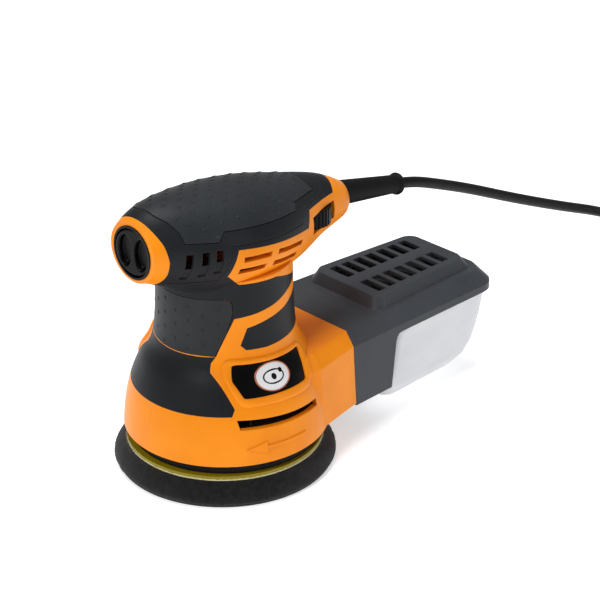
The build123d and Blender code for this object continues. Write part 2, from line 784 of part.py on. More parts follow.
with BuildPart() as port_seal:
    with BuildSketch(front_plane(duct_end - 1.4, port_centre)):
        RectangleRounded(port_width + 3.2, port_height + 3.2, 9.6)
        RectangleRounded(*spigot_size, 7.7, mode=Mode.SUBTRACT)
    extrude(amount=box_front - duct_end + 1.4)
save(port_seal.part, "port_seal")

# translucent bin: (z, front x, rear x, front half, rear half), rounded in towards the bottom and the rear
bin_sections = [
    (bin_low, 97.0, 150.0, 31.0, 27.0),
    (12.6, 91.5, 160.0, 34.6, 31.0),
    (17.2, 89.8, 169.0, 36.4, 33.0),
    (24.0, 91.0, 174.5, 37.0, 33.8),
    (33.0, 92.7, 178.0, 37.4, 34.2),
    (48.5, 95.6, 181.8, 37.8, 34.6),
    (51.7, 96.8, 182.6, 37.9, 34.7),
    (lip_low - 0.2, 100.3, 183.0, 38.0, 34.8),
]


def bin_form(inset):
    with BuildPart() as form:
        for low, high in zip(bin_sections, bin_sections[1:]):
            plans = []
            for z, front, rear, front_half, rear_half in (low, high):
                height = z + inset if z == bin_low else z
                with BuildSketch(Plane.XY.offset(height)) as plan:
                    with BuildLine():
                        Polyline((front + inset, inset - front_half), (rear - inset, inset - rear_half),
                                 (rear - inset, rear_half - inset), (front + inset, front_half - inset), close=True)
                    make_face()
                    fillet(plan.vertices().group_by(Axis.X)[-1], 15 - inset)
                    fillet(plan.vertices().group_by(Axis.X)[0], 7 - inset)
                plans.append(plan.sketch)
            loft(plans, ruled=True)
    return form.part


bin_wall = 1.8
with BuildPart() as bin_rim:
    add(tapered_slab(102.8, 179.0, 35.0, 32.4, lip_low - 2.4, lip_low + 3, 13))
    add(tapered_slab(99.4, 181.6, 37.2, 34.2, lip_low - 2.4, lip_low - 1.0, 14.5))
    add(tapered_slab(104.4, 177.4, 33.4, 30.8, lip_low - 3, lip_low + 4, 12), mode=Mode.SUBTRACT)
with BuildPart() as dust_bin:
    add(bin_form(0))
    add(bin_form(bin_wall), mode=Mode.SUBTRACT)
    add(bin_rim.part)
    add(inlet, mode=Mode.SUBTRACT)
save(dust_bin.part, "dust_bin")

with BuildPart() as filter_frame:
    with BuildSketch(Plane.XY.offset(58.5)):
        with Locations((133, 0)):
            Rectangle(70, 50)
            Rectangle(64, 44, mode=Mode.SUBTRACT)
    extrude(amount=6.0)
save(filter_frame.part, "filter_frame")
with BuildPart() as dust_filter:
    with BuildSketch(Plane.XZ.offset(-21.8)):
        with BuildLine():
            pleats = [(101.4 + 3.15 * k, 59.0 + 4.6 * (k % 2)) for k in range(21)]
            Polyline(*(pleats + [(x, z + 0.8) for x, z in reversed(pleats)]), close=True)
        make_face()
    extrude(amount=43.6)
save(dust_filter.part, "dust_filter")

# mains cord: straight runs joined by tangent arcs, then the put-away coil on the floor
cord_route = [
    cord_exit, (145.83, 0, 122.01), (168, 0.7, 113.8), (198, 1.2, 101.8), (240, 0.4, 83.2), (286, -0.6, 64.3),
    (322, -0.8, 50.5), (346, 0, 38.5), (365, 0.6, 25.5), (382, 0.6, 14.5), (395, 0, 9.0),
]
coil_centre = (400.0, -43.5)
coil_outer = 50.5
coil_inner = 22.5
coil_height = 13.0

points = [Vector(*place) for place in cord_route]
radii = []
for before, corner, after in zip(points, points[1:], points[2:]):
    turn = (corner - before).get_angle(after - corner)
    shorter = min((corner - before).length, (after - corner).length)
    radii.append(0.45 * shorter / math.tan(math.radians(turn / 2)))
print("cord radii", [round(radius, 1) for radius in radii])
with BuildPart() as cord_run:
    with BuildLine() as cord_line:
        FilletPolyline(*points, radius=radii)
    with BuildSketch(Plane(origin=points[0], z_dir=points[1] - points[0])):
        Circle(cord_radius)
    sweep()
cord_length = cord_line.wire().length
print("cord run", round(cord_length, 1), "volume ratio",
      round(cord_run.part.volume / (math.pi * cord_radius**2 * cord_length), 4))
save(cord_run.part, "cord_run")

with BuildPart() as cord_coil:
    with BuildSketch(Plane.XY):
        with Locations(coil_centre):
            Circle(coil_outer)
            Circle(coil_inner, mode=Mode.SUBTRACT)
    extrude(amount=coil_height)
save(cord_coil.part, "cord_coil")

# plug, lying flat beside the coil
plug_turn = 60.0
plug_height = 10.0
reach = 26.0
out = (math.cos(math.radians(plug_turn)), math.sin(math.radians(plug_turn)))
heading = Vector(out[1], -out[0], 0)
plug_start = Vector(coil_centre[0] + 43.5 * out[0], coil_centre[1] + 43.5 * out[1], plug_height) + heading * reach
plug_plane = Plane(origin=plug_start, z_dir=heading, x_dir=(0, 0, 1))
with BuildPart() as plug_body:
    for distance, radius in ((0.0, 4.4), (24.0, 6.2)):
        with BuildSketch(plug_plane.offset(distance)):
            Circle(radius)
    loft()
    with BuildSketch(plug_plane.offset(24.0)):
        RectangleRounded(15, 20, 7)
    with BuildSketch(plug_plane.offset(44.0)):
        RectangleRounded(19, 36, 9)
    loft()
    with BuildSketch(plug_plane.offset(44.0)):
        RectangleRounded(19, 36, 9)
    extrude(amount=14)
save(plug_body.part, "plug_body")
with BuildPart() as plug_pins:
    with BuildSketch(plug_plane.offset(58.0)):
        with Locations((0, 9.5), (0, -9.5)):
            Circle(2.4)
    extrude(amount=19)
    fillet(plug_pins.edges().filter_by(GeomType.CIRCLE).group_by(Axis(plug_start, heading))[-1], 1.6)
save(plug_pins.part, "plug_pins")
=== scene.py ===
import bmesh
import bpy
import json
import math
import numpy as np
from mathutils import Matrix, Vector
from mathutils.bvhtree import BVHTree


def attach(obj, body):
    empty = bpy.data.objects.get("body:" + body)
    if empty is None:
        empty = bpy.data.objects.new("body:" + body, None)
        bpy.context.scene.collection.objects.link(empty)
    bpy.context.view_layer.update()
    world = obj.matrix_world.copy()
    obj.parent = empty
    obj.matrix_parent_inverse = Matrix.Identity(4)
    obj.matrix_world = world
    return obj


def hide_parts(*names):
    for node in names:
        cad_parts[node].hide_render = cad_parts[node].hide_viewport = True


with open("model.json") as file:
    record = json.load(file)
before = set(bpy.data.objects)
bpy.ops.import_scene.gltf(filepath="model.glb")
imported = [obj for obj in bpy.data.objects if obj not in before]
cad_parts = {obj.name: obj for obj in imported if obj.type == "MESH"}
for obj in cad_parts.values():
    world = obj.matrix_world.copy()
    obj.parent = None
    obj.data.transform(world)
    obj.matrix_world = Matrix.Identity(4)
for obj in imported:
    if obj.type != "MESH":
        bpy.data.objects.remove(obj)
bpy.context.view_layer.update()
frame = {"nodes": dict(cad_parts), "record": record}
mm = 0.001
scene = bpy.context.scene
collection = scene.collection
print("frame loaded,", len(frame["nodes"]), "pieces from CAD")


# camera, floor and lights

view = {
    "place": (-0.63955, -0.73887, 0.57526),
    "target": (0.05421, -0.00244, 0.07656),
    "lens": 120.0,
    "floorHalf": 6.0,
    "floorTone": (0.93, 0.93, 0.935, 1.0),
    "sky": (1.0, 1.0, 1.0, 1.0),
    "skyStrength": 0.30,
    "floorGlow": 0.5,
}
# name, place, aim, width, power, colour
lamps = [
    ("keyLamp", (-1.05, -0.25, 1.15), (0.0, 0.0, 0.08), 0.5, 9.0, (1.0, 0.985, 0.96)),
    ("fillLamp", (0.55, -1.35, 0.75), (0.05, 0.0, 0.07), 0.6, 2.6, (0.95, 0.97, 1.0)),
    ("topLamp", (0.15, 0.35, 1.5), (0.05, 0.0, 0.1), 0.8, 14.0, (0.97, 0.985, 1.0)),
]


def lookFrom(made, place, aim):
    made.location = place
    made.rotation_euler = (Vector(aim) - Vector(place)).to_track_quat("-Z", "Y").to_euler()


cameraData = bpy.data.cameras.new("viewCamera")
cameraData.lens = view["lens"]
cameraData.sensor_width = 36.0
camera = bpy.data.objects.new("viewCamera", cameraData)
collection.objects.link(camera)
lookFrom(camera, view["place"], view["target"])
scene.camera = camera
scene.view_settings.view_transform = "Standard"

for name, place, aim, width, power, colour in lamps:
    lampData = bpy.data.lights.new(name, "AREA")
    lampData.shape = "DISK"
    lampData.size = width
    lampData.energy = power
    lampData.color = colour
    lamp = bpy.data.objects.new(name, lampData)
    collection.objects.link(lamp)
    lookFrom(lamp, place, aim)

world = bpy.data.worlds.new("studioSky")
world.use_nodes = True
sky = world.node_tree.nodes["Background"]
sky.inputs["Color"].default_value = view["sky"]
sky.inputs["Strength"].default_value = view["skyStrength"]
scene.world = world


# small mesh helpers, all sizes in metres unless a name ends in Mm

def meshObject(name, points, faces, angle=35.0):
    shape = bpy.data.meshes.new(name)
    shape.from_pydata([tuple(point) for point in points], [], faces)
    return finishMesh(name, shape, angle)


def finishMesh(name, shape, angle=35.0):
    work = bmesh.new()
    work.from_mesh(shape)
    bmesh.ops.remove_doubles(work, verts=work.verts, dist=1e-6)
    bmesh.ops.recalc_face_normals(work, faces=work.faces)
    work.to_mesh(shape)
    work.free()
    shape.shade_smooth()
    shape.set_sharp_from_angle(angle=math.radians(angle))
    made = bpy.data.objects.new(name, shape)
    collection.objects.link(made)
    return made


# rows of equal length joined into a skin; wrapped rows close round, a closed stack joins last row to first
def skin(rows, closedStack=False):
    count = len(rows[0])
    points = [point for row in rows for point in row]
    faces = []
    last = len(rows) if closedStack else len(rows) - 1
    for level in range(last):
        above = (level + 1) % len(rows)
        for step in range(count):
            after = (step + 1) % count
            low, high = level * count, above * count
            faces.append((low + step, low + after, high + after, high + step))
    return points, faces


# profile of (distance along, radius) in mm turned about a line
def turnedPiece(name, profileMm, start, direction, steps=96, angle=35.0):
    along = Vector(direction).normalized()
    side = along.orthogonal().normalized()
    up = along.cross(side)
    rows = []
    for distance, radius in profileMm:
        centre = Vector(start) + along * distance * mm
        rows.append([
            centre + (side * math.cos(turn) + up * math.sin(turn)) * radius * mm
            for turn in np.linspace(0, 2 * math.pi, steps, endpoint=False)
        ])
    points, faces = skin(rows)
    return meshObject(name, points, faces, angle)


def place(piece, body, slotName, *nodes):
    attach(piece, body)
    if nodes:
        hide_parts(*nodes)
    return piece


def paint(piece, *materials):
    piece.data.materials.clear()
    for material in materials:
        piece.data.materials.append(material)


# node trees

class Field:
    def __init__(self, board, socket):
        self.board = board
        self.socket = socket

    def join(self, operation, first, second):
        return self.board.field("ShaderNodeMath", {"operation": operation}, {0: first, 1: second})

    def __add__(self, other):
        return self.join("ADD", self, other)

    def __radd__(self, other):
        return self.join("ADD", other, self)

    def __sub__(self, other):
        return self.join("SUBTRACT", self, other)

    def __rsub__(self, other):
        return self.join("SUBTRACT", other, self)

    def __mul__(self, other):
        return self.join("MULTIPLY", self, other)

    def __rmul__(self, other):
        return self.join("MULTIPLY", other, self)


class Board:
    def __init__(self, tree):
        self.nodes = tree.nodes
        self.links = tree.links

    def node(self, kind, settings=None, sockets=None):
        made = self.nodes.new(kind)
        for key, value in (settings or {}).items():
            if key == "stops":
                while len(made.color_ramp.elements) < len(value):
                    made.color_ramp.elements.new(0.5)
                for element, (position, colour) in zip(made.color_ramp.elements, value):
                    element.position = position
                    element.color = colour
            else:
                setattr(made, key, value)
        for key, value in (sockets or {}).items():
            if isinstance(value, Field):
                self.links.new(value.socket, made.inputs[key])
            else:
                made.inputs[key].default_value = value
        return made

    def field(self, kind, settings=None, sockets=None, output=0):
        return Field(self, self.node(kind, settings, sockets).outputs[output])


class Surface(Board):
    def __init__(self, name):
        self.material = bpy.data.materials.new(name)
        self.material.use_nodes = True
        super().__init__(self.material.node_tree)
        self.nodes.clear()
        self.where = self.field("ShaderNodeTexCoord", output="Object")

    def noise(self, scale, detail=2.0, where=None, output=0, roughness=0.5):
        return self.field("ShaderNodeTexNoise", None, {
            "Vector": where or self.where, "Scale": scale, "Detail": detail, "Roughness": roughness}, output)

    def stretched(self, scale):
        return self.field("ShaderNodeMapping", None, {"Vector": self.where, "Scale": scale})

    def span(self, value, low, high, toLow=0.0, toHigh=1.0):
        return self.field("ShaderNodeMapRange", None, {
            "Value": value, "From Min": low, "From Max": high, "To Min": toLow, "To Max": toHigh})

    def blend(self, factor, first, second):
        return self.field("ShaderNodeMix", {"data_type": "RGBA"}, {0: factor, 6: first, 7: second}, 2)

    def rounded(self, radius):
        return self.field("ShaderNodeBevel", {"samples": 6}, {"Radius": radius})

    # 0 on a flat face, rising to about 0.3 on a sharp corner
    def corner(self, roundedNormal):
        normal = self.field("ShaderNodeNewGeometry", output="Normal")
        facing = self.field("ShaderNodeVectorMath", {"operation": "DOT_PRODUCT"}, {
            0: roundedNormal, 1: normal}, "Value")
        return 1 - facing

    def bump(self, height, distance, strength, normal=None):
        sockets = {"Height": height, "Distance": distance, "Strength": strength}
        if normal:
            sockets["Normal"] = normal
        return self.field("ShaderNodeBump", None, sockets)

    def finish(self, **sockets):
        shader = self.node("ShaderNodeBsdfPrincipled", None, sockets)
        self.node("ShaderNodeOutputMaterial", None, {"Surface": Field(self, shader.outputs[0])})
        return self.material


def tone(red, green, blue):
    return (red, green, blue, 1.0)


# moulded plastic or rubber: slow colour drift, fine spark-eroded grain, rubbed corners
def moulded(name, look):
    made = Surface(name)
    drift = made.noise(look.get("drift", 35.0), 3.0)
    grain = made.noise(look["grain"], 3.0)
    speck = made.noise(look["grain"] * 0.23, 2.0)
    rub = made.noise(210.0, 4.0, roughness=0.65)
    soft = made.rounded(look.get("round", 0.0004))
    corner = made.corner(soft)
    worn = made.span(corner + (rub - 0.5) * 0.12, 0.05, 0.3) * look.get("wear", 0.5)
    colour = made.blend(made.span(drift, 0.3, 0.7), look["deep"], look["pale"])
    colour = made.blend(made.span(speck, 0.35, 0.75) * look.get("mottle", 0.25), colour, look["mottleTone"])
    colour = made.blend(worn, colour, look["worn"])
    scuff = made.noise(90.0, 5.0, made.stretched((1.0, 3.2, 1.7)), roughness=0.7)
    roughness = made.span(grain, 0.3, 0.7, look["rough"][0], look["rough"][1])
    roughness = roughness + made.span(scuff, 0.5, 0.75) * look.get("scuff", 0.06)
    height = grain * 0.7 + speck * 0.3
    sockets = {
        "Base Color": colour,
        "Roughness": roughness,
        "Normal": made.bump(height, look["relief"], look.get("bump", 0.35), soft),
        "Specular IOR Level": look.get("specular", 0.5),
    }
    sockets.update(look.get("extra", {}))
    return made.finish(**sockets)


# machined or cast metal: brushed streaks, oil stains
def metal(name, look):
    made = Surface(name)
    streak = made.noise(look["grain"], 3.0, made.stretched(look["stretch"]))
    stain = made.noise(60.0, 4.0)
    soft = made.rounded(0.0003)
    worn = made.span(made.corner(soft), 0.04, 0.25) * 0.6
    colour = made.blend(made.span(stain, 0.35, 0.7), look["deep"], look["pale"])
    colour = made.blend(worn, colour, look["bright"])
    return made.finish(**{
        "Base Color": colour,
        "Metallic": look.get("metallic", 1.0),
        "Roughness": made.span(streak, 0.3, 0.7, look["rough"][0], look["rough"][1]),
        "Normal": made.bump(streak, look["relief"], 0.3, soft),
    })


finishes = {
    "orange_shell": moulded("orangeShell", {
        "deep": tone(0.84, 0.235, 0.003), "pale": tone(0.94, 0.285, 0.006),
        "mottleTone": tone(0.90, 0.30, 0.01), "worn": tone(0.95, 0.40, 0.07), "grain": 2300.0,
        "rough": (0.3, 0.42), "relief": 0.00005, "wear": 0.45, "round": 0.0005, "specular": 0.16}),
    "dark_overmould": moulded("darkOvermould", {
        "deep": tone(0.0085, 0.0095, 0.0118), "pale": tone(0.0125, 0.0138, 0.0165),
        "mottleTone": tone(0.019, 0.021, 0.0245), "worn": tone(0.085, 0.09, 0.10), "grain": 2600.0,
        "rough": (0.36, 0.5), "relief": 0.00006, "wear": 0.4, "round": 0.0005, "specular": 0.13}),
    "soft_grip": moulded("softGrip", {
        "deep": tone(0.0155, 0.0178, 0.0205), "pale": tone(0.0215, 0.0245, 0.0275),
        "mottleTone": tone(0.029, 0.033, 0.037), "worn": tone(0.08, 0.085, 0.09), "grain": 2100.0,
        "rough": (0.42, 0.56), "relief": 0.00006, "wear": 0.3, "round": 0.0005,
        "extra": {"Sheen Weight": 0.04, "Sheen Roughness": 0.4}, "specular": 0.16}),
    "black_plastic": moulded("blackPlastic", {
        "deep": tone(0.0012, 0.0012, 0.0013), "pale": tone(0.002, 0.002, 0.0022),
        "mottleTone": tone(0.004, 0.004, 0.0045), "worn": tone(0.04, 0.04, 0.042), "grain": 1900.0,
        "rough": (0.2, 0.3), "relief": 0.00003, "wear": 0.4, "round": 0.0004, "specular": 0.1}),
    "box_lid": moulded("boxLid", {
        "deep": tone(0.041, 0.045, 0.052), "pale": tone(0.051, 0.056, 0.064),
        "mottleTone": tone(0.061, 0.067, 0.075), "worn": tone(0.10, 0.11, 0.12), "grain": 2500.0,
        "rough": (0.38, 0.52), "relief": 0.00007, "wear": 0.4, "round": 0.0009, "specular": 0.2}),
    "rubber_black": moulded("blackRubber", {
        "deep": tone(0.0045, 0.0045, 0.005), "pale": tone(0.007, 0.007, 0.0075),
        "mottleTone": tone(0.012, 0.012, 0.0125), "worn": tone(0.06, 0.06, 0.06), "grain": 1500.0,
        "rough": (0.5, 0.68), "relief": 0.00006, "wear": 0.3, "specular": 0.12}),
    "cord_black": moulded("cordSheath", {
        "deep": tone(0.003, 0.003, 0.0033), "pale": tone(0.005, 0.005, 0.0055),
        "mottleTone": tone(0.01, 0.01, 0.0105), "worn": tone(0.05, 0.05, 0.05), "grain": 900.0,
        "rough": (0.36, 0.52), "relief": 0.00004, "wear": 0.2, "specular": 0.15}),
    "fan_plastic": moulded("fanPlastic", {
        "deep": tone(0.03, 0.03, 0.034), "pale": tone(0.05, 0.05, 0.055), "mottleTone": tone(0.1, 0.1, 0.1),
        "worn": tone(0.16, 0.16, 0.16), "grain": 1400.0, "rough": (0.5, 0.7), "relief": 0.00008,
        "mottle": 0.5}),
    "board_green": moulded("solderMask", {
        "deep": tone(0.012, 0.09, 0.03), "pale": tone(0.02, 0.14, 0.045),
        "mottleTone": tone(0.05, 0.2, 0.08), "worn": tone(0.35, 0.33, 0.18), "grain": 700.0,
        "rough": (0.25, 0.4), "relief": 0.00004}),
    "capacitor_yellow": moulded("filmCase", {
        "deep": tone(0.55, 0.38, 0.03), "pale": tone(0.66, 0.47, 0.05), "mottleTone": tone(0.7, 0.55, 0.1),
        "worn": tone(0.8, 0.7, 0.3), "grain": 600.0, "rough": (0.28, 0.4), "relief": 0.00003}),
    "carbon": moulded("pressedCarbon", {
        "deep": tone(0.012, 0.012, 0.013), "pale": tone(0.03, 0.03, 0.031),
        "mottleTone": tone(0.09, 0.09, 0.09), "worn": tone(0.14, 0.14, 0.14), "grain": 3000.0,
        "rough": (0.4, 0.6), "relief": 0.00008, "mottle": 0.6}),
    # filter tone darkened to near-black grey so the inside of the grille reads dark: painted shade of the
    # recess behind the grille slots
    "filter_paper": moulded("filterPaperPaintedShade", {
        "deep": tone(0.035, 0.034, 0.032), "pale": tone(0.055, 0.053, 0.05),
        "mottleTone": tone(0.08, 0.075, 0.065), "worn": tone(0.12, 0.11, 0.10), "grain": 1700.0,
        "rough": (0.85, 0.95), "relief": 0.0002, "mottle": 0.6}),
    "pad_foam": moulded("padFoam", {
        "deep": tone(0.005, 0.005, 0.0055), "pale": tone(0.009, 0.009, 0.0095),
        "mottleTone": tone(0.019, 0.019, 0.02), "worn": tone(0.03, 0.03, 0.03), "grain": 1500.0,
        "rough": (0.85, 0.98), "relief": 0.0006, "bump": 0.8, "mottle": 0.7,
        "extra": {"Sheen Weight": 0.12, "Sheen Roughness": 0.6}, "specular": 0.1}),
    "pad_hook": moulded("hookFacing", {
        "deep": tone(0.015, 0.015, 0.016), "pale": tone(0.03, 0.03, 0.032),
        "mottleTone": tone(0.08, 0.08, 0.08), "worn": tone(0.1, 0.1, 0.1), "grain": 2600.0,
        "rough": (0.75, 0.95), "relief": 0.0005, "bump": 0.9, "mottle": 0.8}),
    "steel": metal("machinedSteel", {
        "deep": tone(0.42, 0.42, 0.44), "pale": tone(0.6, 0.6, 0.62), "bright": tone(0.8, 0.8, 0.82),
        "grain": 500.0, "stretch": (1.0, 1.0, 8.0), "rough": (0.22, 0.42), "relief": 0.00003}),
    "zinc": metal("castZinc", {
        "deep": tone(0.36, 0.37, 0.39), "pale": tone(0.5, 0.51, 0.53), "bright": tone(0.75, 0.76, 0.78),
        "grain": 900.0, "stretch": (1.0, 1.0, 1.0), "rough": (0.4, 0.65), "relief": 0.00012}),
    "copper": metal("enamelledCopper", {
        "deep": tone(0.45, 0.15, 0.05), "pale": tone(0.68, 0.27, 0.11), "bright": tone(0.85, 0.45, 0.25),
        "grain": 900.0, "stretch": (1.0, 1.0, 6.0), "rough": (0.22, 0.4), "relief": 0.00015}),
    "core_steel": metal("laminatedSteel", {
        "deep": tone(0.14, 0.15, 0.16), "pale": tone(0.26, 0.27, 0.29), "bright": tone(0.45, 0.46, 0.48),
        "grain": 260.0, "stretch": (1.0, 1.0, 14.0), "rough": (0.38, 0.6), "relief": 0.0001}),
    "plug_brass": metal("platedBrass", {
        "deep": tone(0.6, 0.55, 0.42), "pale": tone(0.76, 0.72, 0.6), "bright": tone(0.9, 0.88, 0.8),
        "grain": 600.0, "stretch": (1.0, 1.0, 1.0), "rough": (0.16, 0.3), "relief": 0.00002}),
}


# milky bin: light passes through, faint flow marks
def binPlastic():
    made = Surface("milkyBin")
    flow = made.noise(26.0, 3.0, made.stretched((1.0, 1.0, 2.5)))
    grain = made.noise(1800.0, 2.0)
    dust = made.noise(140.0, 5.0, roughness=0.7)
    soft = made.rounded(0.0009)
    worn = made.span(made.corner(soft), 0.03, 0.25) * 0.35
    colour = made.blend(made.span(flow, 0.3, 0.7), tone(0.80, 0.815, 0.85), tone(0.89, 0.90, 0.93))
    colour = made.blend(made.span(dust, 0.55, 0.8) * 0.12, colour, tone(0.6, 0.59, 0.56))
    colour = made.blend(worn, colour, tone(0.9, 0.91, 0.93))
    return made.finish(**{
        "Base Color": colour,
        "Roughness": made.span(grain, 0.3, 0.7, 0.34, 0.46),
        "Transmission Weight": 0.22,
        "IOR": 1.45,
        "Subsurface Weight": 0.35,
        "Subsurface Radius": (0.006, 0.006, 0.006),
        "Subsurface Scale": 1.0,
        "Normal": made.bump(grain * 0.5 + flow * 0.5, 0.00008, 0.25, soft),
    })


# glass-epoxy plate, olive on its faces and cream where the fibres are cut
def padResin():
    made = Surface("glassEpoxy")
    height = made.field("ShaderNodeSeparateXYZ", None, {0: made.where}, "Z")
    ragged = made.noise(420.0, 3.0)
    weave = made.noise(1300.0, 2.0)
    cut = made.span(height + (ragged - 0.5) * 0.0014, 0.01412, 0.01386)
    olive = made.blend(made.span(weave, 0.35, 0.7), tone(0.21, 0.165, 0.002), tone(0.32, 0.26, 0.004))
    cream = made.blend(made.span(ragged, 0.3, 0.7), tone(0.66, 0.60, 0.26), tone(0.88, 0.85, 0.58))
    return made.finish(**{
        "Base Color": made.blend(cut, olive, cream),
        "Roughness": made.span(weave, 0.3, 0.7, 0.3, 0.5) + cut * 0.35,
        "Normal": made.bump(weave * 0.6 + ragged * 0.4, 0.00025, 0.4),
        "Coat Weight": 0.08,
        "Specular IOR Level": 0.25,
    })


def plainFloor():
    made = Surface("studioFloor")
    drift = made.noise(3.0, 2.0)
    colour = made.blend(made.span(drift, 0.3, 0.7), view["floorTone"], tone(0.95, 0.95, 0.955))
    return made.finish(**{
        "Base Color": colour,
        "Roughness": 0.9,
        "Specular IOR Level": 0.1,
        "Emission Color": colour,
        "Emission Strength": view["floorGlow"],
    })


finishes["bin_plastic"] = binPlastic()
finishes["pad_resin"] = padResin()
emblemWhite = moulded("emblemWhite", {
    "deep": tone(0.74, 0.74, 0.76), "pale": tone(0.84, 0.84, 0.86), "mottleTone": tone(0.7, 0.7, 0.72),
    "worn": tone(0.9, 0.9, 0.9), "grain": 1500.0, "rough": (0.3, 0.42), "relief": 0.00002, "mottle": 0.15})
emblemRim = metal("emblemRim", {
    "deep": tone(0.42, 0.12, 0.05), "pale": tone(0.55, 0.19, 0.09), "bright": tone(0.7, 0.35, 0.2),
    "grain": 900.0, "stretch": (1.0, 1.0, 1.0), "rough": (0.3, 0.45), "relief": 0.00003, "metallic": 0.45})
# grip marks coloured darker than the grip rubber they are moulded in: painted shade standing in for the
# shadowed sides of the raised marks
gripMarkPaintedShade = moulded("gripMarkPaintedShade", {
    "deep": tone(0.008, 0.009, 0.0105), "pale": tone(0.012, 0.0135, 0.015),
    "mottleTone": tone(0.018, 0.02, 0.022), "worn": tone(0.05, 0.052, 0.056), "grain": 2100.0,
    "rough": (0.42, 0.55), "relief": 0.00004, "specular": 0.35})
creamFibre = moulded("cutFibre", {
    "deep": tone(0.66, 0.6, 0.36), "pale": tone(0.86, 0.82, 0.6), "mottleTone": tone(0.9, 0.88, 0.72),
    "worn": tone(0.9, 0.88, 0.7), "grain": 2500.0, "rough": (0.6, 0.8), "relief": 0.00005})

half = view["floorHalf"]
floorCorners = [(-half, -half, 0), (half, -half, 0), (half, half, 0), (-half, half, 0)]
floor = meshObject("studioFloor", floorCorners, [(0, 1, 2, 3)])
paint(floor, plainFloor())

for row in frame["record"]["subparts"]:
    for held in frame["nodes"][row["node"]].material_slots:
        held.material = finishes[row["material_slot"]]
print("materials on every piece from CAD")


# mains cord, one spline from the sleeve's mouth to the plug

cordLook = {
    "radiusMm": 3.25,
    "routeMm": [
        (134.0, 0.0, 124.0), (145.83, 0.0, 122.01), (168.0, 0.7, 113.8), (198.0, 1.2, 101.8),
        (240.0, 0.4, 83.2), (286.0, -0.6, 64.3), (322.0, -0.8, 50.5), (346.0, 0.0, 38.5),
        (365.0, 0.6, 25.5), (382.0, 0.6, 14.5), (395.0, 0.0, 9.0),
    ],
    "coilCentreMm": (400.0, -43.5),
    "upperTurns": (90.0, -870.0, 43.5, 27.0, 9.7),      # from angle, to angle, from radius, to radius, height
    "lowerTurns": (-1050.0, -2100.0, 26.4, 46.6, 3.3),
    "stepDegrees": 20.0,
    "plugAngle": 60.0,
    # along the lead to the plug: distance on, height, distance out
    "leadMm": [(6.0, 3.9, 3.4), (13.0, 6.2, 2.6), (20.0, 8.9, 1.0), (27.0, 10.0, 0.1), (31.0, 10.0, 0.0)],
    "lengthM": 1.65,
}


def turns(spec):
    fromAngle, toAngle, fromRadius, toRadius, height = spec
    count = int(round(abs(toAngle - fromAngle) / cordLook["stepDegrees"]))
    centre = cordLook["coilCentreMm"]
    made = []
    for step in range(1, count + 1):
        share = step / count
        angle = math.radians(fromAngle + (toAngle - fromAngle) * share)
        radius = fromRadius + (toRadius - fromRadius) * share
        made.append((centre[0] + radius * math.cos(angle), centre[1] + radius * math.sin(angle), height))
    return made


coilMm = turns(cordLook["upperTurns"])
dropFrom, dropTo = cordLook["upperTurns"], cordLook["lowerTurns"]
coilMm += [
    (x, y, dropFrom[4] + (dropTo[4] - dropFrom[4]) * (0.5 - 0.5 * math.cos(math.pi * (step + 1) / 9)))
    for step, (x, y, z) in enumerate(turns((dropFrom[1], dropTo[0], dropFrom[3], dropTo[2], 0.0)))
]
coilMm += turns(dropTo)
leaving = math.radians(cordLook["plugAngle"])
outwards = Vector((math.cos(leaving), math.sin(leaving), 0.0))
heading = Vector((outwards.y, -outwards.x, 0.0))
coilEdge = Vector((*cordLook["coilCentreMm"], 0.0)) + outwards * 43.5
for reach, lift, shift in cordLook["leadMm"]:
    spot = coilEdge + heading * reach + outwards * shift
    coilMm.append((spot.x, spot.y, lift))
cordPoints = cordLook["routeMm"] + coilMm
cordCurve = bpy.data.curves.new("mainsCord", "CURVE")
cordCurve.dimensions = "3D"
cordCurve.bevel_depth = cordLook["radiusMm"] * mm
cordCurve.bevel_resolution = 5
cordCurve.resolution_u = 8
cordCurve.use_fill_caps = True
spline = cordCurve.splines.new("NURBS")
spline.points.add(len(cordPoints) - 1)
for point, spot in zip(spline.points, cordPoints):
    point.co = (spot[0] * mm, spot[1] * mm, spot[2] * mm, 1.0)
spline.order_u = 3
spline.use_endpoint_u = True
cord = bpy.data.objects.new("mainsCord", cordCurve)
collection.objects.link(cord)
paint(cord, finishes["cord_black"])
place(cord, "housing", "cord_black", "cord_run", "cord_coil")

sleeveLook = {"start": (86.5, 0.0, 132.0), "mouth": (134.0, 0.0, 124.0)}
sleeveStart = Vector(sleeveLook["start"]) * mm
sleeveAim = Vector(sleeveLook["mouth"]) - Vector(sleeveLook["start"])
long = sleeveAim.length
strainRelief = turnedPiece("strainRelief", [
    (-13.4, 0.0), (-13.4, 3.9), (-13.1, 4.2), (-6.0, 4.2), (-6.0, 7.2), (-4.0, 7.3), (0.0, 7.25),
    (10.0, 6.85), (24.0, 6.25), (36.0, 5.75), (long - 4.6, 5.45), (long - 3.3, 5.55), (long - 2.6, 6.1),
    (long - 2.0, 6.45), (long - 1.2, 6.55), (long - 0.5, 6.35), (long - 0.1, 5.8), (long, 5.0), (long, 0.0),
], sleeveStart, sleeveAim, 72, 50.0)
paint(strainRelief, finishes["rubber_black"])
place(strainRelief, "housing", "rubber_black", "strain_relief")
print("cord laid,", len(cordPoints), "points")


# surface of the casing, for pieces that lie on it

def nodeTree(*names):
    points, faces = [], []
    for name in names:
        shape = frame["nodes"][name].data
        base = len(points)
        points += [vertex.co.copy() for vertex in shape.vertices]
        faces += [tuple(base + index for index in polygon.vertices) for polygon in shape.polygons]
    return BVHTree.FromPolygons(points, faces)


skirtTree = nodeTree("left_housing", "right_housing", "left_badge_plate", "right_badge_plate")


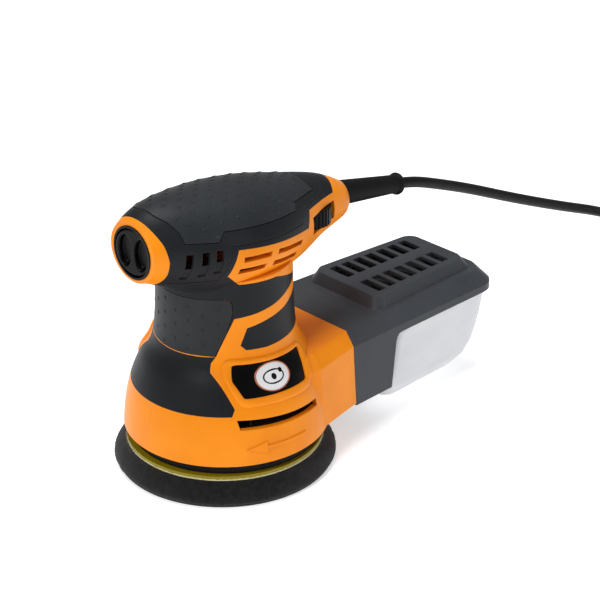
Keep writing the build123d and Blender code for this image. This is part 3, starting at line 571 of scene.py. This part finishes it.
# the point on the casing over (x, z) in mm, and the way it faces; side is -1 for -Y and 1 for +Y
def onSkirt(x, z, side):
    def hit(px, pz):
        found = skirtTree.ray_cast(Vector((px * mm, side * 0.09, pz * mm)), Vector((0, -side, 0)))
        return found[0]
    here = hit(x, z)
    across = hit(x + 0.8, z) - hit(x - 0.8, z)
    upward = hit(x, z + 0.8) - hit(x, z - 0.8)
    normal = across.cross(upward).normalized()
    if normal.y * side < 0:
        normal.negate()
    return here, normal


# distance from a centre to a closed outline along each of many directions, with softened corners
def reachOut(outline, centre, steps, soften):
    reach = []
    count = len(outline)
    for turn in np.linspace(0, 2 * math.pi, steps, endpoint=False):
        heading2 = (math.cos(turn), math.sin(turn))
        best = 0.0
        for k in range(count):
            ax, az = outline[k][0] - centre[0], outline[k][1] - centre[1]
            bx, bz = outline[(k + 1) % count][0] - centre[0], outline[(k + 1) % count][1] - centre[1]
            ex, ez = bx - ax, bz - az
            cross = heading2[0] * ez - heading2[1] * ex
            if abs(cross) < 1e-9:
                continue
            far = (ax * ez - az * ex) / cross
            along = (ax * heading2[1] - az * heading2[0]) / cross
            if far > 0 and -1e-6 <= along <= 1 + 1e-6:
                best = max(best, far)
        reach.append(best)
    reach = np.array(reach)
    for _ in range(soften):
        reach = (np.roll(reach, 1) + 2 * reach + np.roll(reach, -1)) / 4
    return reach


# a closed band that lies on the casing between two outlines; rows are (share from inner to outer, height mm)
def surfaceBand(name, inner, outer, centre, rows, side, lean=0.0):
    steps = len(outer)
    made = []
    for share, height in rows:
        row = []
        for step in range(steps):
            turn = 2 * math.pi * step / steps
            radius = inner[step] + (outer[step] - inner[step]) * share
            x = centre[0] + radius * math.cos(turn + lean)
            z = centre[1] + radius * math.sin(turn + lean)
            here, normal = onSkirt(x, z, side)
            row.append(here + normal * height * mm)
        made.append(row)
    points, faces = skin(made, True)
    return meshObject(name, points, faces, 40.0)


# distance from the middle of an oval to its edge along 96 directions
def ovalReach(halves):
    turn = np.linspace(0, 2 * math.pi, 96, endpoint=False)
    wide, tall = halves
    return wide * tall / np.sqrt((tall * np.cos(turn)) ** 2 + (wide * np.sin(turn)) ** 2)


badgeLook = {
    "centre": (-4.0, 66.2),
    "plate": [(-24.1, 75.2), (19.2, 73.3), (16.2, 57.8), (-24.4, 58.8), (-26.9, 67.5)],
    "frame": [(-27.9, 76.6), (-26.1, 78.7), (19.9, 75.9), (25.1, 69.7), (21.6, 56.7), (18.6, 52.9),
              (-25.3, 54.1), (-28.1, 56.3), (-30.1, 68.5)],
    "frameRows": [(0.0, -0.5), (0.0, 0.7), (0.05, 0.95), (0.2, 1.2), (0.5, 1.28), (0.72, 1.1), (0.9, 0.55),
                  (1.0, -0.4)],
    "steps": 240,
    "emblemCentre": (-5.2, 66.6),
    "emblemHalf": (11.0, 7.0),
    "orbitHalf": (6.6, 3.5),
}
for side, sideName in ((-1, "Left"), (1, "Right")):
    steps = badgeLook["steps"]
    inner = reachOut(badgeLook["plate"], badgeLook["centre"], steps, 2)
    outer = reachOut(badgeLook["frame"], badgeLook["centre"], steps, 8)
    badgeFrame = surfaceBand("badgeFrame" + sideName, inner, outer, badgeLook["centre"],
                             badgeLook["frameRows"], side)
    paint(badgeFrame, finishes["orange_shell"])
    place(badgeFrame, "housing", "orange_shell")
    oval = ovalReach(badgeLook["emblemHalf"])
    emblem = surfaceBand("emblem" + sideName, oval * 0.0, oval * 0.93, badgeLook["emblemCentre"],
                         [(0.0, -0.2), (0.0, 0.22), (0.5, 0.22), (0.97, 0.2), (1.0, 0.12), (1.0, -0.2)], side)
    paint(emblem, emblemWhite)
    place(emblem, "housing", "black_plastic")
    rim = surfaceBand("emblemRim" + sideName, oval * 0.92, oval, badgeLook["emblemCentre"],
                      [(0.0, -0.2), (0.0, 0.26), (0.3, 0.34), (0.7, 0.34), (1.0, 0.2), (1.0, -0.2)], side)
    paint(rim, emblemRim)
    place(rim, "housing", "black_plastic")
    orbitOval = ovalReach(badgeLook["orbitHalf"])
    orbitRing = surfaceBand("orbitRing" + sideName, orbitOval - 0.8, orbitOval, badgeLook["emblemCentre"],
                            [(0.0, 0.1), (0.0, 0.27), (1.0, 0.27), (1.0, 0.1)], side)
    paint(orbitRing, finishes["black_plastic"])
    place(orbitRing, "housing", "black_plastic")
    for label, shift, size in (("orbitSun", (0.0, 0.0), 1.5), ("orbitMoon", (5.0, 1.9), 1.15)):
        dotCentre = (badgeLook["emblemCentre"][0] + shift[0], badgeLook["emblemCentre"][1] + shift[1])
        dot = surfaceBand(label + sideName, np.zeros(96), np.full(96, size), dotCentre,
                          [(0.0, 0.1), (0.0, 0.34), (0.9, 0.34), (1.0, 0.28), (1.0, 0.1)], side)
        paint(dot, finishes["black_plastic"])
        place(dot, "housing", "black_plastic")
print("badges made")


# round rocker with two finger dishes

rockerLook = {
    "centreMm": (-58.0, 0.0, 142.0),
    "tilt": 5.0,
    "radiusMm": 13.05,
    "backRadiusMm": 11.8,
    "faceMm": -62.0,
    "backMm": -54.6,
    "cornerMm": 1.1,
    "dishHalfMm": (4.9, 9.4),
    "dishShiftMm": 5.75,
    "dishDepthMm": 3.0,
    "wallShare": 0.22,
}


def rockerDepth(y, z):
    deepest = 0.0
    for side in (1, -1):
        wide, tall = rockerLook["dishHalfMm"]
        u = (y - side * rockerLook["dishShiftMm"]) / wide
        v = z / tall
        q = math.sqrt(u * u + v * v)
        t = min(max((1.0 - q) / rockerLook["wallShare"], 0.0), 1.0)
        bowl = t * t * (3 - 2 * t) * rockerLook["dishDepthMm"] * (0.86 + 0.14 * max(0.0, 1 - q * q))
        deepest = max(deepest, bowl)
    return deepest


def rockerPiece():
    steps = 128
    turnMatrix = Matrix.Rotation(math.radians(rockerLook["tilt"]), 3, "Z")
    centre = Vector(rockerLook["centreMm"])
    radius, corner = rockerLook["radiusMm"], rockerLook["cornerMm"]
    rows = []
    profile = [(share * (radius - corner), 0.0) for share in np.linspace(0.0, 1.0, 46)]
    profile += [(radius - corner + corner * math.sin(a), corner - corner * math.cos(a))
                for a in np.linspace(0.2, math.pi / 2, 7)]
    back = rockerLook["backMm"] - rockerLook["faceMm"]
    profile += [(radius - 0.35, 3.0), (rockerLook["backRadiusMm"], back), (0.0, back)]
    for distance, depth in profile:
        row = []
        for turn in np.linspace(0, 2 * math.pi, steps, endpoint=False):
            y, z = distance * math.cos(turn), distance * math.sin(turn)
            sunk = depth if depth > 0 else rockerDepth(y, z)
            spot = Vector((rockerLook["faceMm"] - centre.x + sunk, y, z))
            row.append((centre + turnMatrix @ spot) * mm)
        rows.append(row)
    points, faces = skin(rows)
    return meshObject("rocker", points, faces, 60.0)


rocker = rockerPiece()
paint(rocker, finishes["black_plastic"])
place(rocker, "switch", "black_plastic", "switch_rocker")
print("rocker made")


# sanding pad: foam with a fuzzy rim, dust holes cut through

padLook = {
    "axisMm": -1.25,
    "steps": 300,
    "holeCircleMm": 32.5,
    "holeRadiusMm": 4.8,
    "screwCircleMm": 21.5,
    "screwRadiusMm": 4.5,
    "lowMm": 1.2,
    "highMm": 13.2,
    "rimMm": [(1.2, 60.2), (1.3, 60.8), (1.7, 61.5), (2.3, 62.1), (3.2, 62.4), (4.2, 62.35), (5.2, 62.1),
              (6.4, 61.5), (7.6, 60.7), (8.8, 59.6), (10.0, 58.3), (11.0, 57.1), (11.8, 56.2), (12.4, 55.9),
              (12.9, 55.6), (13.2, 54.9)],
    "fuzzMm": 0.22,
    "seed": 11,
}


def padFoamPiece():
    axis = Vector((padLook["axisMm"] * mm, 0, 0))
    profile = [(padLook["lowMm"], 0.0), (padLook["lowMm"], 40.0), (padLook["lowMm"], 56.0)] + padLook["rimMm"]
    profile += [(padLook["highMm"], 50.0), (padLook["highMm"], 40.0), (padLook["highMm"], 0.0)]
    body = turnedPiece("padFoam", profile, axis, (0, 0, 1), padLook["steps"], 60.0)
    points, faces = [], []
    cuts = [(padLook["holeCircleMm"], padLook["holeRadiusMm"], 22.5 + 45 * k) for k in range(8)]
    cuts += [(padLook["screwCircleMm"], padLook["screwRadiusMm"], 90 * k) for k in range(4)]
    for circle, radius, degrees in cuts:
        bearing = math.radians(degrees)
        centre = axis + Vector((math.cos(bearing), math.sin(bearing), 0)) * circle * mm
        rows = [[centre + Vector((math.cos(t) * r, math.sin(t) * r, z)) * mm
                 for t in np.linspace(0, 2 * math.pi, 40, endpoint=False)]
                for z, r in ((-3, 0), (-3, radius), (18, radius), (18, 0))]
        newPoints, newFaces = skin(rows)
        faces += [tuple(index + len(points) for index in face) for face in newFaces]
        points += newPoints
    cutter = meshObject("holeCutter", points, faces)
    cut = body.modifiers.new("holes", "BOOLEAN")
    cut.operation = "DIFFERENCE"
    cut.solver = "EXACT"
    cut.object = cutter
    shape = bpy.data.meshes.new_from_object(body.evaluated_get(bpy.context.evaluated_depsgraph_get()))
    bpy.data.objects.remove(body)
    bpy.data.objects.remove(cutter)
    random = np.random.default_rng(padLook["seed"])
    lumps = random.normal(size=(64, 3))
    for vertex in shape.vertices:
        flat = Vector((vertex.co.x - axis.x, vertex.co.y, 0))
        radius = flat.length / mm
        if radius > 55.2 and padLook["lowMm"] + 0.05 < vertex.co.z / mm < padLook["highMm"] - 0.05:
            turn = math.atan2(flat.y, flat.x)
            height = vertex.co.z / mm
            wave = sum(size * math.cos((k + 5) * turn + shift * 3 + height * twist)
                       for k, (size, shift, twist) in enumerate(lumps[:24]))
            push = (0.25 * wave / 4.0 + random.normal() * 0.5) * padLook["fuzzMm"]
            vertex.co += flat.normalized() * min(max(push - 0.15, -0.5), 0.12) * mm
    return finishMesh("padFoam", shape, 60.0)


padFoam = padFoamPiece()
paint(padFoam, finishes["pad_foam"])
place(padFoam, "pad", "pad_foam", "pad_foam")
print("pad foam made")


# geometry node trees

class Grower(Board):
    def __init__(self, name, inputs):
        self.tree = bpy.data.node_groups.new(name, "GeometryNodeTree")
        super().__init__(self.tree)
        self.tree.interface.new_socket("Geometry", in_out="OUTPUT", socket_type="NodeSocketGeometry")
        self.tree.interface.new_socket("Geometry", in_out="INPUT", socket_type="NodeSocketGeometry")
        for label, kind, value in inputs:
            socket = self.tree.interface.new_socket(label, in_out="INPUT", socket_type=kind)
            if value is not None:
                socket.default_value = value
        self.given = self.node("NodeGroupInput")

    def input(self, label):
        return Field(self, self.given.outputs[label])

    def named(self, label, kind="FLOAT_VECTOR"):
        return self.field("GeometryNodeInputNamedAttribute", {"data_type": kind}, {"Name": label})

    def end(self, geometry):
        solid = self.field("GeometryNodeRealizeInstances", None, {"Geometry": geometry})
        done = self.field("GeometryNodeSetMaterial", None, {
            "Geometry": solid, "Material": self.input("Material")})
        self.node("NodeGroupOutput", None, {"Geometry": done})
        return self.tree


def applyTree(holder, tree, values, name):
    modifier = holder.modifiers.new(tree.name, "NODES")
    modifier.node_group = tree
    for item in tree.interface.items_tree:
        if item.item_type == "SOCKET" and item.in_out == "INPUT" and item.name in values:
            modifier[item.identifier] = values[item.name]
    shape = bpy.data.meshes.new_from_object(holder.evaluated_get(bpy.context.evaluated_depsgraph_get()))
    bpy.data.objects.remove(holder)
    shape.name = name
    made = bpy.data.objects.new(name, shape)
    collection.objects.link(made)
    return made


# throws each point at the target along "aim" and stamps the shape where it and its neighbours land
def stampTree():
    grow = Grower("stampOnSurface", [
        ("Target", "NodeSocketObject", None),
        ("Stamp", "NodeSocketObject", None),
        ("Margin", "NodeSocketFloat", 0.003),
        ("Size Spread", "NodeSocketFloat", 0.06),
        ("Seed", "NodeSocketInt", 3),
        ("Material", "NodeSocketMaterial", None),
    ])
    target = grow.field("GeometryNodeObjectInfo", None, {"Object": grow.input("Target")}, "Geometry")
    stamp = grow.field("GeometryNodeObjectInfo", None, {"Object": grow.input("Stamp")}, "Geometry")
    spot = grow.field("GeometryNodeInputPosition")
    aim = grow.named("aim")
    across = grow.named("across")
    upward = grow.field("ShaderNodeVectorMath", {"operation": "CROSS_PRODUCT"}, {0: aim, 1: across})

    def cast(start):
        return grow.node("GeometryNodeRaycast", None, {
            "Target Geometry": target, "Source Position": start, "Ray Direction": aim, "Ray Length": 0.05})

    middle = cast(spot)
    kept = Field(grow, middle.outputs["Is Hit"])
    for way, sign in ((across, 1.0), (across, -1.0), (upward, 1.0), (upward, -1.0)):
        step = grow.field("ShaderNodeVectorMath", {"operation": "SCALE"}, {
            0: way, "Scale": grow.input("Margin") * sign})
        beside = grow.field("ShaderNodeVectorMath", {"operation": "ADD"}, {0: spot, 1: step})
        landed = Field(grow, cast(beside).outputs["Is Hit"])
        kept = grow.field("FunctionNodeBooleanMath", {"operation": "AND"}, {0: kept, 1: landed})
    marked = grow.field("GeometryNodeStoreNamedAttribute", {"data_type": "FLOAT_VECTOR", "domain": "POINT"}, {
        "Geometry": grow.input("Geometry"), "Name": "facing",
        "Value": Field(grow, middle.outputs["Hit Normal"])})
    marked = grow.field("GeometryNodeStoreNamedAttribute", {"data_type": "BOOLEAN", "domain": "POINT"}, {
        "Geometry": marked, "Name": "kept", "Value": kept})
    moved = grow.field("GeometryNodeSetPosition", None, {
        "Geometry": marked, "Position": Field(grow, middle.outputs["Hit Position"])})
    upright = grow.field("FunctionNodeAlignRotationToVector", {"axis": "Z"}, {"Vector": grow.named("facing")})
    turned = grow.field("FunctionNodeAlignRotationToVector", {"axis": "X", "pivot_axis": "Z"}, {
        "Rotation": upright, "Vector": across})
    spread = grow.input("Size Spread")
    size = grow.field("FunctionNodeRandomValue", {"data_type": "FLOAT"}, {
        "Min": 1 - spread, "Max": 1 + spread, "Seed": grow.input("Seed")}, 1)
    stamped = grow.field("GeometryNodeInstanceOnPoints", None, {
        "Points": moved, "Selection": grow.named("kept", "BOOLEAN"), "Instance": stamp,
        "Rotation": turned, "Scale": size})
    return grow.end(stamped)


# short bristles over a skin
def fibreTree():
    grow = Grower("fibresOnSkin", [
        ("Stamp", "NodeSocketObject", None),
        ("Density", "NodeSocketFloat", 1000.0),
        ("Lean", "NodeSocketFloat", 0.8),
        ("Seed", "NodeSocketInt", 5),
        ("Material", "NodeSocketMaterial", None),
    ])
    stamp = grow.field("GeometryNodeObjectInfo", None, {"Object": grow.input("Stamp")}, "Geometry")
    spread = grow.node("GeometryNodeDistributePointsOnFaces", {"distribute_method": "RANDOM"}, {
        "Mesh": grow.input("Geometry"), "Density": grow.input("Density"), "Seed": grow.input("Seed")})
    lean = grow.input("Lean")
    low = grow.field("ShaderNodeCombineXYZ", None, {"X": lean * -1.0, "Y": lean * -1.0, "Z": -3.1})
    high = grow.field("ShaderNodeCombineXYZ", None, {"X": lean, "Y": lean, "Z": 3.1})
    jitter = grow.field("FunctionNodeRandomValue", {"data_type": "FLOAT_VECTOR"}, {
        0: low, 1: high, "Seed": grow.input("Seed")}, 0)
    bend = grow.field("FunctionNodeEulerToRotation", None, {0: jitter})
    turned = grow.field("FunctionNodeRotateRotation", {"rotation_space": "LOCAL"}, {
        "Rotation": Field(grow, spread.outputs["Rotation"]), "Rotate By": bend})
    size = grow.field("FunctionNodeRandomValue", {"data_type": "FLOAT"}, {
        "Min": 0.4, "Max": 1.25, "Seed": grow.input("Seed") + 4}, 1)
    stamped = grow.field("GeometryNodeInstanceOnPoints", None, {
        "Points": Field(grow, spread.outputs["Points"]), "Instance": stamp,
        "Rotation": turned, "Scale": size})
    return grow.end(stamped)


stamping = stampTree()
bristling = fibreTree()


def pointHolder(name, spots, aims, acrosses):
    shape = bpy.data.meshes.new(name)
    shape.from_pydata([tuple(spot) for spot in spots], [], [])
    for label, values in (("aim", aims), ("across", acrosses)):
        attribute = shape.attributes.new(label, "FLOAT_VECTOR", "POINT")
        attribute.data.foreach_set("vector", np.array(values, np.float32).ravel())
    made = bpy.data.objects.new(name, shape)
    collection.objects.link(made)
    return made


# a low pointed stamp; arms are (angle in degrees, reach mm), valleys lie between them
def starStamp(name, arms, valley, heightMm):
    around = []
    count = len(arms)
    for k, (degrees, reach) in enumerate(arms):
        after = arms[(k + 1) % count][0] + (360 if k == count - 1 else 0)
        around.append((degrees, reach))
        around.append(((degrees + after) / 2, valley))
    points = [(0, 0, heightMm * mm)]
    for degrees, reach in around:
        bearing = math.radians(degrees)
        points.append((math.cos(bearing) * reach * mm, math.sin(bearing) * reach * mm, -0.06 * mm))
    ring = len(around)
    faces = [(0, 1 + k, 1 + (k + 1) % ring) for k in range(ring)]
    faces.append(tuple(range(ring, 0, -1)))
    shape = bpy.data.meshes.new(name)
    shape.from_pydata(points, [], faces)
    made = bpy.data.objects.new(name, shape)
    collection.objects.link(made)
    return made


starLook = {
    "fromX": -50.0,
    "toX": 52.0,
    "pitchX": 10.7,
    "pitchTurn": 10.0,
    "turnRange": 78.0,
    "axisHeight": 132.0,
    "castFrom": 60.0,
    "arms": [(0, 2.9), (90, 2.4), (180, 2.9), (270, 2.4)],
    "valley": 0.68,
    "height": 0.42,
    "margin": 2.0,
}
spots, aims, acrosses = [], [], []
rowTurn = -starLook["turnRange"]
rowIndex = 0
while rowTurn <= starLook["turnRange"]:
    angle = math.radians(rowTurn)
    aim = Vector((0, -math.sin(angle), -math.cos(angle)))
    x = starLook["fromX"] + (rowIndex % 2) * starLook["pitchX"] / 2
    while x <= starLook["toX"]:
        spots.append((Vector((x, 0, starLook["axisHeight"])) - aim * starLook["castFrom"]) * mm)
        aims.append(aim)
        acrosses.append((1, 0, 0))
        x += starLook["pitchX"]
    rowTurn += starLook["pitchTurn"]
    rowIndex += 1
starMark = starStamp("gripStar", starLook["arms"], starLook["valley"], starLook["height"])
# the stars take the darker mark tone, painted shade of their shadowed sides
gripStars = applyTree(pointHolder("gripStars", spots, aims, acrosses), stamping, {
    "Target": frame["nodes"]["top_grip"], "Stamp": starMark, "Margin": starLook["margin"] * mm,
    "Size Spread": 0.05, "Seed": 3, "Material": gripMarkPaintedShade}, "gripStars")
bpy.data.objects.remove(starMark)
place(gripStars, "housing", "soft_grip")

markLook = {
    "fromZ": 81.5,
    "toZ": 109.0,
    "pitchZ": 8.2,
    "pitchTurn": 13.0,
    "turnRange": 60.0,
    "castFrom": 70.0,
    "arms": [(20, 1.7), (115, 1.9), (205, 1.5), (290, 2.0)],
    "valley": 0.4,
    "height": 0.32,
    "margin": 1.8,
}
spots, aims, acrosses = [], [], []
column = 0
turnNow = -markLook["turnRange"]
while turnNow <= markLook["turnRange"]:
    angle = math.radians(turnNow)
    aim = Vector((math.cos(angle), math.sin(angle), 0))
    z = markLook["fromZ"] + (column % 2) * markLook["pitchZ"] / 2
    while z <= markLook["toZ"]:
        spots.append(Vector((-aim.x * markLook["castFrom"], -aim.y * markLook["castFrom"], z)) * mm)
        aims.append(aim)
        acrosses.append((-aim.y, aim.x, 0))
        z += markLook["pitchZ"]
    turnNow += markLook["pitchTurn"]
    column += 1
slantMark = starStamp("gripMark", markLook["arms"], markLook["valley"], markLook["height"])
# the slant marks take the darker mark tone, painted shade of their shadowed sides
gripMarks = applyTree(pointHolder("gripMarks", spots, aims, acrosses), stamping, {
    "Target": frame["nodes"]["front_grip"], "Stamp": slantMark, "Margin": markLook["margin"] * mm,
    "Size Spread": 0.1, "Seed": 4, "Material": gripMarkPaintedShade}, "gripMarks")
bpy.data.objects.remove(slantMark)
place(gripMarks, "housing", "soft_grip")
print("grip stars", len(gripStars.data.polygons), "marks", len(gripMarks.data.polygons))


# bristle pointing along +Z
def bristleStamp(name, lengthMm, radiusMm):
    points = [(math.cos(t) * radiusMm * mm, math.sin(t) * radiusMm * mm, -0.1 * mm)
              for t in (0.0, 2 * math.pi / 3, 4 * math.pi / 3)]
    points.append((0.12 * lengthMm * mm, 0.0, lengthMm * mm))
    shape = bpy.data.meshes.new(name)
    shape.from_pydata(points, [], [(0, 1, 3), (1, 2, 3), (2, 0, 3), (2, 1, 0)])
    made = bpy.data.objects.new(name, shape)
    collection.objects.link(made)
    return made


fuzzLook = {
    "foamBandMm": [(1.5, 60.9), (2.3, 61.8), (3.2, 62.1), (5.2, 61.8), (7.6, 60.4), (10.0, 58.0),
                   (13.0, 55.3)],
    "foamDensity": 900000.0,
    "creamBandMm": [(13.25, 55.0), (13.9, 55.02)],
    "creamDensity": 9000000.0,
}
padAxis = Vector((padLook["axisMm"] * mm, 0, 0))
foamBand = turnedPiece("foamBand", fuzzLook["foamBandMm"], padAxis, (0, 0, 1), 90)
hair = bristleStamp("foamHair", 0.5, 0.06)
foamFuzz = applyTree(foamBand, bristling, {
    "Stamp": hair, "Density": fuzzLook["foamDensity"], "Lean": 0.9, "Seed": 7,
    "Material": finishes["pad_foam"]}, "foamFuzz")
bpy.data.objects.remove(hair)
place(foamFuzz, "pad", "pad_foam")
creamBand = turnedPiece("creamBand", fuzzLook["creamBandMm"], padAxis, (0, 0, 1), 120)
fringe = bristleStamp("cutHair", 0.75, 0.09)
creamFringe = applyTree(creamBand, bristling, {
    "Stamp": fringe, "Density": fuzzLook["creamDensity"], "Lean": 0.7, "Seed": 9,
    "Material": creamFibre}, "creamFringe")
bpy.data.objects.remove(fringe)
place(creamFringe, "pad", "pad_resin")
print("fibres", len(foamFuzz.data.polygons), len(creamFringe.data.polygons))
